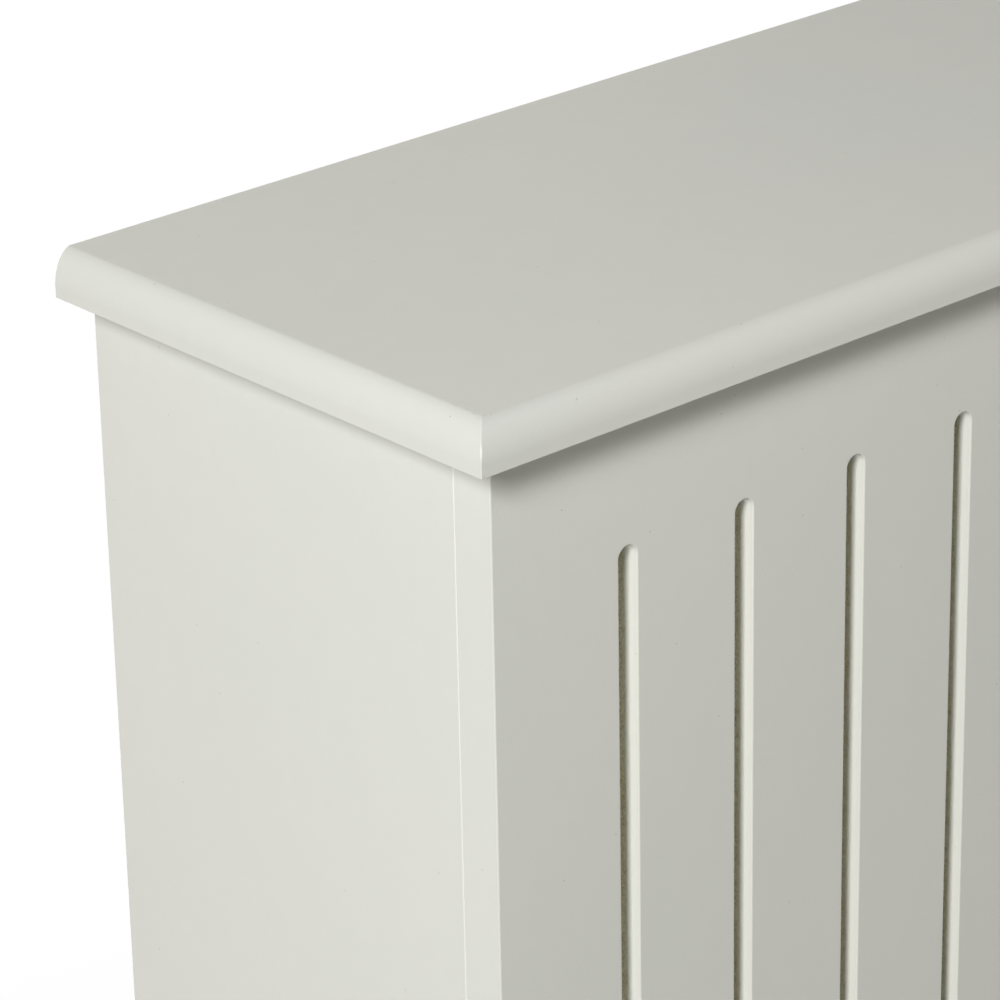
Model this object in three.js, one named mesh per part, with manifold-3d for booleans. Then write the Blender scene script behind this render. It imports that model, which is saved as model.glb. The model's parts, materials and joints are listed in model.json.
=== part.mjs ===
// A flat-pack radiator cover: a shelf with a moulded edge on a slotted front panel and two
// side panels, drawn together by cam locks and dowels and held to the wall by two steel angles.
// Millimetres, +Z up, the front faces -Y. The origin is on the floor under the middle of the shelf.

import * as THREE from 'three';
import { mergeVertices } from 'three/addons/utils/BufferGeometryUtils.js';
import Module from 'manifold-3d';

const wasm = await Module();
wasm.setup();

// ---------------------------------------------------------------- driving dimensions

// The whole cover and its board.
const shelfWidth = 780;
const shelfDepth = 190;
const coverHeight = 815;
const shelfThickness = 15;
const panelThickness = 15;
const sideOverhang = 13.6;
const frontOverhang = 12.2;

// The moulded edge of the shelf: a short upright lip, and over it a curve that turns in from
// upright and meets the flat top at a crease.
const lipHeight = 3.5;
const mouldingWidth = 6;
const mouldingTurn = THREE.MathUtils.degToRad(75);
const mouldingSteps = 8;
const shelfArris = 0.5;

// The slots of the front panel, and the air inlet cut out of its foot.
const slotWidth = 7;
const slotPitch = 46.4;
const slotTopDrop = 44;
const slotSideMargin = 50;
const slotArcSteps = 8;
const inletHeight = 65;
const inletRadius = 18;
const inletRadiusSteps = 5;
const footWidth = 60;
const inletToSlots = 60;
const frontArris = 0.6;
const frontArrisSteps = 2;

// The side panels, each with a rear notch that clears a skirting board.
const skirtingDepth = 20;
const skirtingHeight = 120;
const sideArris = 0.35;

// Cam lock: a nut in the inner face of one board pulls on the ball of a bolt screwed in the other.
const camBoreRadius = 7.5;
const camBackset = 24;
const camBelowBolt = 4.7;
const camRecess = 0.2;
const camSteps = 20;
const camLockRadius = 4.9;
const camOpenRadius = 5.7;
const camTurn = Math.PI;
const camDriverLength = 6.4;
const camDriverDepth = 2.6;
const driverWidth = 1.2;
const arrowFromRim = 0.9;
const arrowLength = 1.7;
const arrowWidth = 1.8;
const arrowDepth = 0.4;
const boltBallRadius = 3;
const boltNeckRadius = 1.8;
const boltShankRadius = 3.5;
const boltThreadRadius = 2.5;
const boltTipChamfer = 0.8;
const boltCover = 4;
const boltSteps = 10;
const ballSteps = 4;
const edgeHoleRadius = 4;

// Dowels between the boards.
const dowelRadius = 3.9;
const dowelLength = 30;
const dowelFaceDepth = 10;
const dowelChamfer = 1;
const dowelSteps = 16;

// Wall brackets and their screws.
const bracketLeg = 40;
const bracketWidth = 16;
const bracketThickness = 2;
const bracketBend = 1.2;
const bracketCorner = 3;
const bracketSteps = 4;
const bracketHoleRadius = 2.3;
const bracketHoleFirst = 14;
const bracketHoleSpacing = 16;
const bracketInset = 110;
const screwRadius = 2;
const screwLength = 12;
const screwTip = 3;
const screwHeadRadius = 3.6;
const screwHeadHeight = 2.2;
const screwHeadSteps = 3;
const screwDriverDepth = 1.2;
const screwSteps = 12;

// Where the locks and dowels sit, each from the edge or board that it is set out from.
const lockFromTop = 80;
const lockFromFloor = 130;
const dowelFromLock = 32;
const shelfLockFromFront = 40;
const shelfLockFromRear = 35;
const lockStrip = 2;
const dowelStrip = 4;

// Clearances.
const runningGap = 0.3;
const neckGap = 0.5;
const fitGap = 0.15;
const holeRunout = 0.3;
const cutOver = 1;
const samePoint = 0.01;

// ---------------------------------------------------------------- derived sizes

const cabinetHeight = coverHeight - shelfThickness;
const sideFace = shelfWidth / 2 - sideOverhang;
const sideMiddle = sideFace - panelThickness / 2;
const rearFace = shelfDepth / 2;
const frontFace = frontOverhang - shelfDepth / 2;
const frontMiddle = frontFace + panelThickness / 2;
const frontInner = frontFace + panelThickness;

const slotCount = Math.floor((2 * (sideFace - slotSideMargin)) / slotPitch) + 1;
const slotX = (index) => (index - (slotCount - 1) / 2) * slotPitch;
const stripX = (index) => slotX(index) + slotPitch / 2;
const slotTop = cabinetHeight - slotTopDrop;
const slotBottom = inletHeight + inletToSlots;

const camTop = panelThickness / 2 - camRecess;
const slotHalfHeight = boltNeckRadius + neckGap;
const ballBearing = Math.sqrt(boltBallRadius ** 2 - slotHalfHeight ** 2);
const ballOffset = camLockRadius - runningGap - ballBearing;
const boltThread = panelThickness - boltCover;
const mouthTurn = Math.PI - camTurn;
const dowelEdgeDepth = dowelLength - dowelFaceDepth;

// ---------------------------------------------------------------- solids and frames

const X = new THREE.Vector3(1, 0, 0);
const Y = new THREE.Vector3(0, 1, 0);
const Z = new THREE.Vector3(0, 0, 1);
const down = Z.clone().negate();

// Turns that lay an outline upright and extrude it along X, or along Y towards the front.
const alongX = new THREE.Matrix4().makeBasis(Y, Z, X);
const towardsFront = new THREE.Matrix4().makeBasis(X, Z, Y.clone().negate());

function welded(geometry) {
  const bare = geometry.clone();
  bare.deleteAttribute('normal');
  bare.deleteAttribute('uv');
  const merged = mergeVertices(bare, 1e-4);
  const kept = [];
  for (let i = 0; i < merged.index.count; i += 3) {
    const corners = [0, 1, 2].map((k) => merged.index.getX(i + k));
    if (new Set(corners).size === 3) {
      kept.push(...corners);
    }
  }
  merged.setIndex(kept);
  return merged;
}

function solid(geometry) {
  const merged = welded(geometry);
  return new wasm.Manifold(new wasm.Mesh({
    numProp: 3,
    vertProperties: new Float32Array(merged.attributes.position.array),
    triVerts: new Uint32Array(merged.index.array),
  }));
}

function surface(body) {
  const mesh = body.getMesh();
  const geometry = new THREE.BufferGeometry();
  geometry.setAttribute('position', new THREE.BufferAttribute(mesh.vertProperties, 3));
  geometry.setIndex(new THREE.BufferAttribute(mesh.triVerts, 1));
  geometry.computeVertexNormals();
  return geometry;
}

function cut(geometry, tools) {
  return surface(tools.reduce((body, tool) => body.subtract(solid(tool)), solid(geometry)));
}

function common(...geometries) {
  return surface(geometries.map(solid).reduce((a, b) => a.intersect(b)));
}

function extruded(shape, depth) {
  return new THREE.ExtrudeGeometry(shape, { depth, bevelEnabled: false, curveSegments: camSteps });
}

function outline(points) {
  return new THREE.Shape(points.map(([x, y]) => new THREE.Vector2(x, y)));
}

// A rod along +X from one station to another.
function rod(radius, from, to, steps) {
  return new THREE.CylinderGeometry(radius, radius, to - from, steps)
    .rotateZ(-Math.PI / 2)
    .translate((from + to) / 2, 0, 0);
}

// A solid of revolution about +X, from [station, radius] pairs.
function turned(profile, steps) {
  const points = profile.map(([station, radius]) => new THREE.Vector2(radius, station));
  return new THREE.LatheGeometry(points, steps).rotateZ(-Math.PI / 2);
}

function box(width, depth, height) {
  return new THREE.BoxGeometry(width, depth, height);
}

// The frame of a joint between two boards: its origin is where the fastener crosses the joint,
// +X runs into the board drilled in its edge and +Z out of that board's inner face.
function jointFrame({ at, into, face }) {
  const frame = new THREE.Matrix4().makeBasis(into, face.clone().cross(into), face);
  return frame.setPosition(...at);
}

// ---------------------------------------------------------------- materials

const paint = { color: 0xdfdfd7, roughness: 0.5, metalness: 0 };
const zinc = { color: 0xb9babb, roughness: 0.42, metalness: 1 };
const steel = { color: 0xa9abae, roughness: 0.35, metalness: 1 };
const beech = { color: 0xd2ab7c, roughness: 0.75, metalness: 0 };

function piece(name, geometry, finish) {
  const mesh = new THREE.Mesh(geometry, new THREE.MeshStandardMaterial(finish));
  mesh.name = name;
  return mesh;
}

// ---------------------------------------------------------------- joints between the boards

// Each side panel meets the front panel's inner face and the shelf's underside.
function sideJoints(side, hand) {
  const shared = { face: X.clone().multiplyScalar(-hand), edge: `side_panel_${side}` };
  return {
    front: (name, z) => ({
      name: `front_${side}_${name}`,
      at: [hand * sideMiddle, frontInner, z],
      into: Y,
      flat: 'front_panel',
      ...shared,
    }),
    shelf: (name, y) => ({
      name: `shelf_${side}${name}`,
      at: [hand * sideMiddle, y, cabinetHeight],
      into: down,
      flat: 'shelf',
      ...shared,
    }),
  };
}

const upperLockZ = cabinetHeight - lockFromTop;
const shelfLockFrontY = frontInner + shelfLockFromFront;
const shelfLockRearY = rearFace - shelfLockFromRear;

function sideLocks(side, hand) {
  const joint = sideJoints(side, hand);
  return [
    joint.front('upper', upperLockZ),
    joint.front('lower', lockFromFloor),
    joint.shelf('_front', shelfLockFrontY),
    joint.shelf('_rear', shelfLockRearY),
  ];
}

function sideDowels(side, hand) {
  const joint = sideJoints(side, hand);
  return [
    joint.front('upper', upperLockZ + dowelFromLock),
    joint.front('lower', lockFromFloor - dowelFromLock),
    joint.shelf('', (shelfLockFrontY + shelfLockRearY) / 2),
  ];
}

// The front panel's top edge meets the shelf; its holes stand between the slots.
function frontJoint(side, hand, strip) {
  return {
    name: `shelf_front_${side}`,
    at: [-hand * stripX(strip), frontMiddle, cabinetHeight],
    into: down,
    face: Y,
    edge: 'front_panel',
    flat: 'shelf',
  };
}

const hands = [['left', -1], ['right', 1]];
const locks = hands.flatMap(([side, hand]) => [
  ...sideLocks(side, hand),
  frontJoint(side, hand, lockStrip),
]);
const dowels = hands.flatMap(([side, hand]) => [
  ...sideDowels(side, hand),
  frontJoint(side, hand, dowelStrip),
]);

// ---------------------------------------------------------------- holes drilled in the boards

function camBore() {
  const depth = panelThickness / 2 + camBelowBolt + runningGap;
  return new THREE.CylinderGeometry(camBoreRadius, camBoreRadius, depth + cutOver, camSteps)
    .rotateX(Math.PI / 2)
    .translate(camBackset, 0, (panelThickness - depth + cutOver) / 2);
}

function holesInEdge(lock) {
  const tools = [camBore(), rod(edgeHoleRadius, -cutOver, camBackset, boltSteps)];
  return tools.map((tool) => tool.applyMatrix4(jointFrame(lock)));
}

function pilotHole(lock) {
  const tool = rod(boltThreadRadius + fitGap, -boltThread - holeRunout, cutOver, boltSteps);
  return tool.applyMatrix4(jointFrame(lock));
}

function dowelHole(dowel, from, to) {
  return rod(dowelRadius + fitGap, from, to, dowelSteps).applyMatrix4(jointFrame(dowel));
}

function drillings(board) {
  return [
    ...locks.filter((lock) => lock.edge === board).flatMap(holesInEdge),
    ...locks.filter((lock) => lock.flat === board).map(pilotHole),
    ...dowels.filter((dowel) => dowel.edge === board)
      .map((dowel) => dowelHole(dowel, -cutOver, dowelEdgeDepth + holeRunout)),
    ...dowels.filter((dowel) => dowel.flat === board)
      .map((dowel) => dowelHole(dowel, -dowelFaceDepth - holeRunout, cutOver)),
  ];
}

// ---------------------------------------------------------------- boards

// A moulded edge of the shelf's section, from its underside up to the crease. Its curve is the
// part of an ellipse that spans the moulding's width and height in the moulding's turn.
function mouldedEdge(reach) {
  const across = mouldingWidth / (1 - Math.cos(mouldingTurn));
  const upright = (shelfThickness - lipHeight) / Math.sin(mouldingTurn);
  const points = [[reach - shelfArris, 0], [reach, shelfArris]];
  for (let i = 0; i <= mouldingSteps; i += 1) {
    const angle = (i / mouldingSteps) * mouldingTurn;
    points.push([
      reach - across * (1 - Math.cos(angle)),
      lipHeight + upright * Math.sin(angle),
    ]);
  }
  return points;
}

function shelfBoard() {
  const reach = shelfWidth / 2;
  const sides = [...mouldedEdge(reach), ...mouldedEdge(reach).map(([x, z]) => [-x, z]).reverse()];
  const acrossWidth = extruded(outline(sides), shelfDepth)
    .applyMatrix4(towardsFront)
    .translate(0, rearFace, cabinetHeight);
  const depths = [
    [rearFace, shelfArris],
    [rearFace, shelfThickness - shelfArris],
    [rearFace - shelfArris, shelfThickness],
    ...mouldedEdge(rearFace).map(([y, z]) => [-y, z]).reverse(),
    [rearFace - shelfArris, 0],
  ];
  const acrossDepth = extruded(outline(depths), shelfWidth)
    .applyMatrix4(alongX)
    .translate(-reach, 0, cabinetHeight);
  return common(acrossWidth, acrossDepth);
}

function slotHole(x) {
  const radius = slotWidth / 2;
  const hole = new THREE.Path();
  hole.moveTo(x + radius, slotBottom + radius);
  hole.absarc(x, slotTop - radius, radius, 0, Math.PI, false);
  hole.absarc(x, slotBottom + radius, radius, Math.PI, 2 * Math.PI, false);
  return new THREE.Path(evenly(hole, slotArcSteps));
}

// The points of a path, with each of its arcs in the same number of steps.
function evenly(path, steps) {
  const points = path.curves.flatMap((curve) => (
    curve.isLineCurve ? curve.getPoints(1) : curve.getPoints(steps)
  ));
  return points.filter((point, i) => {
    const next = points[(i + 1) % points.length];
    return point.distanceTo(next) > samePoint;
  });
}

function frontOutline() {
  const inletEdge = sideFace - footWidth;
  const shoulder = inletEdge - inletRadius;
  const spring = inletHeight - inletRadius;
  const path = new THREE.Path();
  path.moveTo(-sideFace, 0);
  path.lineTo(-inletEdge, 0);
  path.lineTo(-inletEdge, spring);
  path.absarc(-shoulder, spring, inletRadius, Math.PI, Math.PI / 2, true);
  path.lineTo(shoulder, inletHeight);
  path.absarc(shoulder, spring, inletRadius, Math.PI / 2, 0, true);
  path.lineTo(inletEdge, 0);
  path.lineTo(sideFace, 0);
  path.lineTo(sideFace, cabinetHeight);
  path.lineTo(-sideFace, cabinetHeight);
  path.closePath();
  return new THREE.Shape(evenly(path, inletRadiusSteps));
}

// The sanded arris is on the front only: behind it the board is cut square.
function frontBoard() {
  const shape = frontOutline();
  for (let i = 0; i < slotCount; i += 1) {
    shape.holes.push(slotHole(slotX(i)));
  }
  const rounded = new THREE.ExtrudeGeometry(shape, {
    depth: panelThickness - frontArris,
    bevelSegments: frontArrisSteps,
    bevelSize: frontArris,
    bevelOffset: -frontArris,
    bevelThickness: frontArris,
  });
  const square = box(2 * shelfWidth, 2 * coverHeight, panelThickness)
    .translate(0, 0, panelThickness / 2);
  return common(rounded, square).applyMatrix4(towardsFront).translate(0, frontInner, 0);
}

function sideOutline() {
  return outline([
    [frontInner, 0],
    [rearFace - skirtingDepth, 0],
    [rearFace - skirtingDepth, skirtingHeight],
    [rearFace, skirtingHeight],
    [rearFace, cabinetHeight],
    [frontInner, cabinetHeight],
  ]);
}

function sideBoard(hand) {
  const board = new THREE.ExtrudeGeometry(sideOutline(), {
    depth: panelThickness - 2 * sideArris,
    bevelSegments: 1,
    bevelSize: sideArris,
    bevelOffset: -sideArris,
    bevelThickness: sideArris,
  });
  return board
    .translate(0, 0, sideArris - panelThickness / 2)
    .applyMatrix4(alongX)
    .translate(hand * sideMiddle, 0, 0);
}

// ---------------------------------------------------------------- cam lock

// The hollow that holds the ball winds in from its open radius to its locked radius.
function camHollow() {
  const points = [];
  for (let i = 0; i < camSteps; i += 1) {
    const angle = (i / camSteps) * 2 * Math.PI;
    const opened = Math.min(Math.abs(Math.PI - angle) / camTurn, 1);
    const radius = camLockRadius + (camOpenRadius - camLockRadius) * opened;
    points.push([radius * Math.cos(angle), radius * Math.sin(angle)]);
  }
  const halfHeight = boltBallRadius + runningGap;
  return extruded(outline(points), 2 * halfHeight).translate(0, 0, -halfHeight);
}

// The neck of the bolt passes through this slot while the nut turns.
function camSlot() {
  const endMargin = Math.asin((boltNeckRadius + runningGap) / camLockRadius);
  const inner = camLockRadius / 2;
  const outer = camBoreRadius + cutOver;
  const steps = camSteps / 2;
  const arc = (radius) => Array.from({ length: steps + 1 }, (_, i) => {
    const angle = mouthTurn + (i / steps) * (camTurn + endMargin);
    return [radius * Math.cos(angle), radius * Math.sin(angle)];
  });
  const sector = outline([...arc(outer), ...arc(inner).reverse()]);
  return extruded(sector, 2 * slotHalfHeight).translate(0, 0, -slotHalfHeight);
}

function camDriver(turn) {
  return box(camDriverLength, driverWidth, 2 * camDriverDepth).rotateZ(turn).translate(0, 0, camTop);
}

// A pressed arrow on the face of the nut points to where the ball goes in.
function camArrow() {
  const tip = camBoreRadius - runningGap - arrowFromRim;
  const mark = outline([
    [tip, 0],
    [tip - arrowLength, arrowWidth / 2],
    [tip - arrowLength, -arrowWidth / 2],
  ]);
  return extruded(mark, 2 * arrowDepth).rotateZ(mouthTurn).translate(0, 0, camTop - arrowDepth);
}

function camNut() {
  const radius = camBoreRadius - runningGap;
  const height = camTop + camBelowBolt;
  const blank = new THREE.CylinderGeometry(radius, radius, height, camSteps)
    .rotateX(Math.PI / 2)
    .translate(0, 0, (camTop - camBelowBolt) / 2);
  const mouth = rod(boltBallRadius + runningGap, camLockRadius / 2, camBoreRadius + cutOver, boltSteps)
    .rotateZ(mouthTurn);
  const tools = [camHollow(), camSlot(), mouth, camDriver(0), camDriver(Math.PI / 2), camArrow()];
  return cut(blank, tools);
}

function lockBolt() {
  const ballAt = camBackset - ballOffset;
  const shankEnd = camBackset - camBoreRadius - fitGap;
  const neckAngle = Math.asin(boltNeckRadius / boltBallRadius);
  const ball = Array.from({ length: ballSteps + 1 }, (_, i) => {
    const angle = neckAngle + (i / ballSteps) * (Math.PI - neckAngle);
    return [ballAt - boltBallRadius * Math.cos(angle), boltBallRadius * Math.sin(angle)];
  });
  ball[ballSteps][1] = 0;
  return turned([
    [-boltThread, 0],
    [-boltThread, boltThreadRadius - boltTipChamfer],
    [-boltThread + boltTipChamfer, boltThreadRadius],
    [0, boltThreadRadius],
    [0, boltShankRadius],
    [shankEnd, boltShankRadius],
    [shankEnd, boltNeckRadius],
    ...ball,
  ], boltSteps);
}

function dowelPin() {
  return turned([
    [-dowelFaceDepth, 0],
    [-dowelFaceDepth, dowelRadius - dowelChamfer],
    [-dowelFaceDepth + dowelChamfer, dowelRadius],
    [dowelEdgeDepth - dowelChamfer, dowelRadius],
    [dowelEdgeDepth, dowelRadius - dowelChamfer],
    [dowelEdgeDepth, 0],
  ], dowelSteps);
}

function placed(frame, ...pieces) {
  const group = new THREE.Group();
  group.position.setFromMatrixPosition(frame);
  group.quaternion.setFromRotationMatrix(frame);
  group.add(...pieces);
  return group;
}

function camLock(lock) {
  const nut = piece(`cam_${lock.name}`, camNut(), zinc);
  nut.position.x = camBackset;
  return placed(jointFrame(lock), nut, piece(`bolt_${lock.name}`, lockBolt(), steel));
}

function dowelJoint(dowel) {
  return placed(jointFrame(dowel), piece(`dowel_${dowel.name}`, dowelPin(), beech));
}

// ---------------------------------------------------------------- wall brackets

const bracketHoles = [bracketHoleFirst, bracketHoleFirst + bracketHoleSpacing];

// An angle seen from its end: both legs start at the outer corner of the bend, one leg runs
// forward under the shelf and the other down the wall.
function angleSection() {
  const outer = bracketThickness + bracketBend;
  const path = new THREE.Path();
  path.moveTo(-bracketLeg, 0);
  path.lineTo(-bracketLeg, -bracketThickness);
  path.lineTo(-outer, -bracketThickness);
  path.absarc(-outer, -outer, bracketBend, Math.PI / 2, 0, true);
  path.lineTo(-bracketThickness, -bracketLeg);
  path.lineTo(0, -bracketLeg);
  path.lineTo(0, -outer);
  path.absarc(-outer, -outer, outer, 0, Math.PI / 2, false);
  path.closePath();
  return new THREE.Shape(evenly(path, bracketSteps));
}

// A leg seen square on, with its free end rounded at the corners.
function legOutline() {
  const half = bracketWidth / 2;
  const endZ = bracketCorner - bracketLeg;
  const path = new THREE.Path();
  path.moveTo(-half, 0);
  path.lineTo(-half, endZ);
  path.absarc(bracketCorner - half, endZ, bracketCorner, Math.PI, 1.5 * Math.PI, false);
  path.lineTo(half - bracketCorner, -bracketLeg);
  path.absarc(half - bracketCorner, endZ, bracketCorner, 1.5 * Math.PI, 2 * Math.PI, false);
  path.lineTo(half, 0);
  path.closePath();
  return new THREE.Shape(evenly(path, bracketSteps));
}

function bracketHole() {
  const through = 4 * bracketThickness;
  return new THREE.CylinderGeometry(bracketHoleRadius, bracketHoleRadius, through, screwSteps);
}

function bracketBody() {
  const angle = extruded(angleSection(), bracketWidth)
    .applyMatrix4(alongX)
    .translate(-bracketWidth / 2, 0, 0);
  const plan = extruded(legOutline(), 2 * bracketLeg).translate(0, 0, -1.5 * bracketLeg);
  const elevation = extruded(legOutline(), 2 * bracketLeg)
    .applyMatrix4(towardsFront)
    .translate(0, bracketLeg / 2, 0);
  const holes = bracketHoles.flatMap((reach) => [
    bracketHole().rotateX(Math.PI / 2).translate(0, -reach, 0),
    bracketHole().translate(0, 0, -reach),
  ]);
  return cut(common(angle, plan, elevation), holes);
}

function screwBody() {
  const dome = Array.from({ length: screwHeadSteps + 1 }, (_, i) => {
    const angle = (i / screwHeadSteps) * (Math.PI / 2);
    return [-screwHeadHeight * Math.cos(angle), screwHeadRadius * Math.sin(angle)];
  });
  dome[0][1] = 0;
  const body = turned([
    ...dome,
    [0, screwRadius],
    [screwLength - screwTip, screwRadius],
    [screwLength, 0],
  ], screwSteps);
  const driver = (turn) => box(2 * screwDriverDepth, screwHeadRadius, driverWidth)
    .rotateX(turn)
    .translate(-screwHeadHeight, 0, 0);
  return cut(body, [driver(0), driver(Math.PI / 2)]);
}

const screwFrame = (x, y, z) => new THREE.Matrix4()
  .makeBasis(Z, X, Y)
  .setPosition(x, y, z);

function bracketAt(side, hand) {
  const x = hand * (sideFace - bracketInset);
  const group = new THREE.Group();
  const bracket = piece(`wall_bracket_${side}`, bracketBody(), steel);
  bracket.position.set(x, rearFace, cabinetHeight);
  group.add(bracket);
  bracketHoles.forEach((reach, i) => {
    const screw = piece(`bracket_screw_${side}_${i + 1}`, screwBody(), steel);
    group.add(placed(screwFrame(x, rearFace - reach, cabinetHeight - bracketThickness), screw));
  });
  return group;
}

// The pilot holes that the bracket screws take in the underside of the shelf.
function screwHoles() {
  const depth = screwLength - bracketThickness + holeRunout;
  return hands.flatMap(([, hand]) => bracketHoles.map((reach) => (
    rod(screwRadius + fitGap, -cutOver, depth, screwSteps)
      .applyMatrix4(screwFrame(hand * (sideFace - bracketInset), rearFace - reach, cabinetHeight))
  )));
}

// ---------------------------------------------------------------- the assembly

const cover = new THREE.Group();
cover.add(piece('shelf', cut(shelfBoard(), [...drillings('shelf'), ...screwHoles()]), paint));
cover.add(piece('front_panel', cut(frontBoard(), drillings('front_panel')), paint));
for (const [side, hand] of hands) {
  const board = cut(sideBoard(hand), drillings(`side_panel_${side}`));
  cover.add(piece(`side_panel_${side}`, board, paint));
  cover.add(bracketAt(side, hand));
}
cover.add(...locks.map(camLock), ...dowels.map(dowelJoint));

export default cover;
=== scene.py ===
"""A painted flat-pack radiator cover in a plain pale studio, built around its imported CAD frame.

Pieces are shaped in millimetres, in the same axes as the frame, and then brought to metres.
"""

import json
import math

import bmesh
import bpy
from mathutils import Matrix, Vector


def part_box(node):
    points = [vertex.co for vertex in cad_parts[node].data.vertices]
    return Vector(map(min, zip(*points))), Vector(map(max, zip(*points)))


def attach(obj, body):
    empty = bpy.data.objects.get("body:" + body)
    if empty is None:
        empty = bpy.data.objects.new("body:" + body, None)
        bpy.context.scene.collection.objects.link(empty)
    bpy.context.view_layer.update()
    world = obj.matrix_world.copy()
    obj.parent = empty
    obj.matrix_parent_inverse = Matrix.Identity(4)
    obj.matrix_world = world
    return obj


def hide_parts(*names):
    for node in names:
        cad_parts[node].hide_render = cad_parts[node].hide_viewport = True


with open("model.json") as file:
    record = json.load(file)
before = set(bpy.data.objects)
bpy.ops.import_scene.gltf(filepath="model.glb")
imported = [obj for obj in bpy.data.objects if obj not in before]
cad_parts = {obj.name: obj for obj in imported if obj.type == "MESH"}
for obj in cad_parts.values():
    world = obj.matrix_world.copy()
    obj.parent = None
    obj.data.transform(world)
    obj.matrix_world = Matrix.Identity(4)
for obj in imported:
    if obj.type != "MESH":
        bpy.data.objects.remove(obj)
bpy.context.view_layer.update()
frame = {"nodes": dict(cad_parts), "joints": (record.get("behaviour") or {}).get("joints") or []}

MM = 0.001
CABINET = "cabinet"
SMOOTH_LIMIT = math.radians(32)
FACE_AREA_ONLY = 100

# ---------------------------------------------------------------- driving sizes, in millimetres

# How far a cutting tool reaches past the face that it cuts.
OVERCUT = 1.0

# The moulded edge of the shelf. Paint fills the crease at its top, over a width on each side.
LIP_HEIGHT = 3.5
MOULDING_WIDTH = 6.0
MOULDING_TURN = math.radians(75)
CREASE_BELOW = 0.8
CREASE_ABOVE = 0.5

# The front corners of the shelf are sharp, but for a worn spot at one height.
MITRE_RADIUS = 0.16
MITRE_WORN_RADIUS = 0.5
MITRE_WORN_HEIGHT = 7.6
MITRE_WORN_REACH = 2.0
SHELF_ARRIS = 0.15

# The slots and the air inlet of the front panel.
SLOT_WIDTH = 7.0
SLOT_PITCH = 46.4
SLOT_TOP_DROP = 44.0
SLOT_SIDE_MARGIN = 50.0
INLET_HEIGHT = 65.0
INLET_RADIUS = 18.0
FOOT_WIDTH = 60.0
INLET_TO_SLOTS = 60.0

# Edges of the boards, broken by sanding before the paint went on. The corners have to be
# rounded by more than the arris is wide, or the outline of the face folds over itself.
FRONT_ARRIS = 0.6
BACK_ARRIS = 0.35
SIDE_ARRIS = 0.5
CORNER_RADIUS = 0.8

# The skirting notch of the side panels.
SKIRTING_DEPTH = 20.0
SKIRTING_HEIGHT = 120.0
NOTCH_RADIUS = 2.0

# Holes drilled for the cam locks, dowels and bracket screws.
CAM_BORE_RADIUS = 7.5
CAM_BORE_DEPTH = 12.5
CAM_BACKSET = 24.0
EDGE_HOLE_RADIUS = 4.0
PILOT_RADIUS = 2.65
PILOT_DEPTH = 11.3
DOWEL_HOLE_RADIUS = 4.05
DOWEL_FACE_DEPTH = 10.3
DOWEL_EDGE_DEPTH = 20.3
SCREW_HOLE_RADIUS = 2.15
SCREW_HOLE_DEPTH = 10.3

# The cam nut, about the middle of the board that it sits in.
NUT_RADIUS = 7.2
NUT_TOP = 7.3
NUT_BOTTOM = -4.7
NUT_CHAMFER = 0.35
LOCKED_RADIUS = 4.9
OPEN_RADIUS = 5.7
HOLLOW_HALF = 3.3
NECK_HALF = 2.3
NECK_END = math.radians(205.4)
MOUTH_RADIUS = 3.3
RECESS_LENGTH = 6.4
RECESS_WIDTH = 1.2
RECESS_DEPTH = 2.6
RECESS_FOOT_LENGTH = 0.675
RECESS_FOOT_WIDTH = 0.7
ARROW_TIP = 6.3
ARROW_LENGTH = 1.7
ARROW_WIDTH = 1.8
ARROW_DEPTH = 0.4

# The wall brackets and their screws.
BRACKET_LEG = 40.0
BRACKET_WIDTH = 16.0
BRACKET_THICKNESS = 2.0
BRACKET_BEND = 1.2
BRACKET_CORNER = 3.0
BRACKET_EDGE = 0.2
BRACKET_STAMPED_LIMIT = math.radians(50)
BRACKET_HOLE_RADIUS = 2.3
BRACKET_HOLES = (14.0, 30.0)
SCREW_RADIUS = 2.0
SCREW_LENGTH = 12.0
SCREW_TIP = 3.0
HEAD_RADIUS = 3.6
HEAD_HEIGHT = 2.2
HEAD_RECESS_DEPTH = 1.2

# ---------------------------------------------------------------- places taken from the frame


def node_box(name):
    low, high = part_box(name)
    return low / MM, high / MM


shelf_low, shelf_high = node_box("shelf")
front_low, front_high = node_box("front_panel")
side_boxes = {side: node_box(f"side_panel_{side}") for side in ("left", "right")}

SHELF_THICKNESS = shelf_high.z - shelf_low.z
BOARD = front_high.y - front_low.y
CABINET_TOP = front_high.z
HANDS = (("left", -1), ("right", 1))

slot_count = math.floor((front_high.x - front_low.x - 2 * SLOT_SIDE_MARGIN) / SLOT_PITCH) + 1
slot_places = [(i - (slot_count - 1) / 2) * SLOT_PITCH for i in range(slot_count)]
slot_top = CABINET_TOP - SLOT_TOP_DROP
slot_bottom = INLET_HEIGHT + INLET_TO_SLOTS

# ---------------------------------------------------------------- outlines


def arc(cx, cy, radius, start, end, steps):
    """Points of an arc, both ends included, with its angles in degrees."""
    angles = [math.radians(start + (end - start) * i / steps) for i in range(steps + 1)]
    return [(cx + radius * math.cos(a), cy + radius * math.sin(a)) for a in angles]


def rounded(corners, steps):
    """A closed outline through (x, y, radius) corners, each rounded by its own radius."""
    points = []
    count = len(corners)
    for i, (x, y, radius) in enumerate(corners):
        here = Vector((x, y))
        before = (Vector(corners[i - 1][:2]) - here).normalized()
        after = (Vector(corners[(i + 1) % count][:2]) - here).normalized()
        half = before.angle(after) / 2
        reach = radius / math.tan(half)
        centre = here + (before + after).normalized() * (radius / math.sin(half))
        start = here + before * reach - centre
        turn = start.angle_signed(here + after * reach - centre)
        for k in range(steps + 1):
            point = centre + Matrix.Rotation(-turn * k / steps, 2) @ start
            points.append((point.x, point.y))
    return points


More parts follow.
